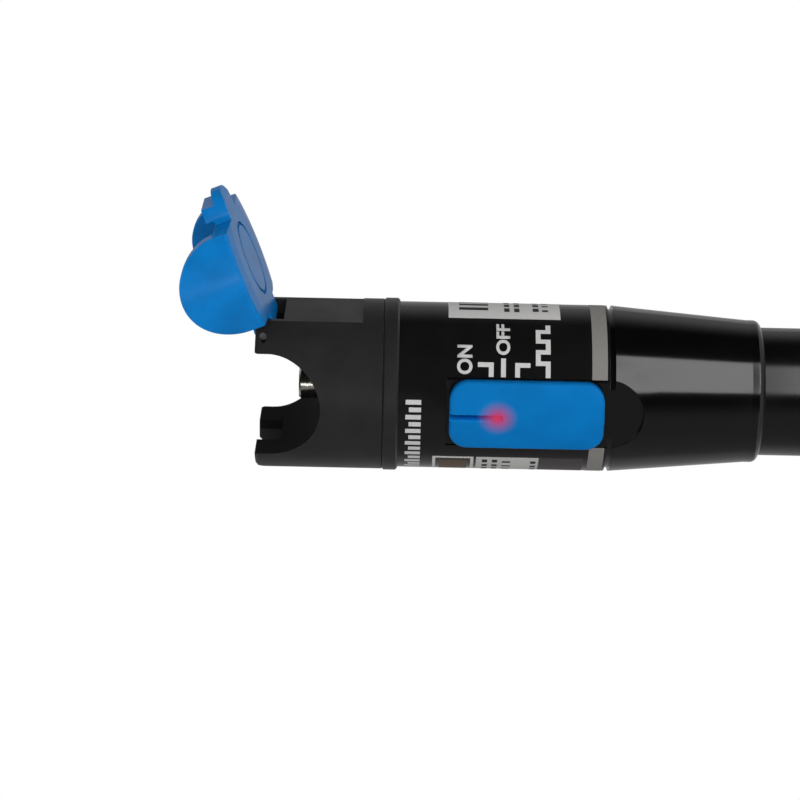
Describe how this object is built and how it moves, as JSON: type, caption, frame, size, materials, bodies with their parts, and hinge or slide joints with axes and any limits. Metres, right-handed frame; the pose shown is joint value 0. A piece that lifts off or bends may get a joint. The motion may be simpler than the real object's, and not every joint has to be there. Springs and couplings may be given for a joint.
{
  "type": "visual fault locator",
  "caption": "Pen-shaped visual fault locator: round barrel with slide switch, ferrule port in a slotted head under a hinged dust cap, and a screwed tail cap over the cells.",
  "frame": {"origin": "centre of the tail cap's flat end face, on which the tool stands", "axes": "+Z along the barrel towards the ferrule port, +X towards the dust cap's hinge, -Y towards the slide switch"},
  "size_m": [0.0439, 0.0271, 0.1869],
  "materials": {
    "head_black": "satin moulded",
    "collar_black": "satin moulded",
    "pin_steel": "ground",
    "cap_blue": "soft gloss moulded",
    "nickel": "plated",
    "sleeve_white": "ground",
    "laser_brass": "turned",
    "diode_gold": "plated",
    "lens_glass": "polished",
    "barrel_black": "gloss anodised",
    "label_film": "printed film",
    "board_green": "solder mask",
    "carrier_grey": "moulded",
    "chip_black": "moulded",
    "switch_metal": "pressed",
    "stem_black": "moulded",
    "slider_blue": "soft gloss moulded",
    "led_red": "lit lens",
    "contact_brass": "plated",
    "holder_white": "moulded",
    "cell_jacket": "plain jacket",
    "contact_steel": "plated",
    "spring_steel": "wound wire",
    "tail_black": "gloss anodised",
    "ring_rubber": "moulded"
  },
  "bodies": {
    "barrel": {"head_shell": "head_black", "head_collar": "collar_black", "hinge_pin": "pin_steel", "adapter_barrel": "nickel", "ferrule_sleeve": "sleeve_white", "laser_housing": "laser_brass", "laser_diode": "diode_gold", "focusing_lens": "lens_glass", "main_barrel": "barrel_black", "wrap_label": "label_film", "circuit_board": "board_green", "board_carrier": "carrier_grey", "driver_chip": "chip_black", "switch_housing": "switch_metal", "indicator_led": "led_red", "front_contact": "contact_brass", "contact_holder": "holder_white", "battery_front": "cell_jacket", "battery_rear": "cell_jacket"},
    "cap": {"dust_cap": "cap_blue"},
    "slider": {"switch_slider": "slider_blue", "switch_stem": "stem_black"},
    "tail_contact": {"tail_contact_disc": "contact_steel", "tail_spring": "spring_steel"},
    "tail_cap": {"tail_cap": "tail_black", "tail_oring": "ring_rubber"}
  },
  "joints": [
    {"name": "cap_hinge", "type": "hinge", "parent": "barrel", "child": "cap", "pos_m": [0.0099, 0, 0.17485], "axis": [0, 1, 0], "range_deg": [-158, 0]},
    {"name": "switch_slide", "type": "slide", "parent": "barrel", "child": "slider", "axis": [0, 0, -1], "range_m": [0, 0.0041]},
    {"name": "tail_cap_travel", "type": "slide", "parent": "barrel", "child": "tail_contact", "axis": [0, 0, -1], "range_m": [0, 0.0052]},
    {"name": "tail_cap_turn", "type": "hinge", "parent": "tail_contact", "child": "tail_cap", "pos_m": [0, 0, 0], "axis": [0, 0, -1], "range_deg": [0, 1800]}
  ],
  "couplings": [
    {"joint": "tail_cap_travel", "follows": "tail_cap_turn", "m_per_rad": 0.00015915}
  ]
}
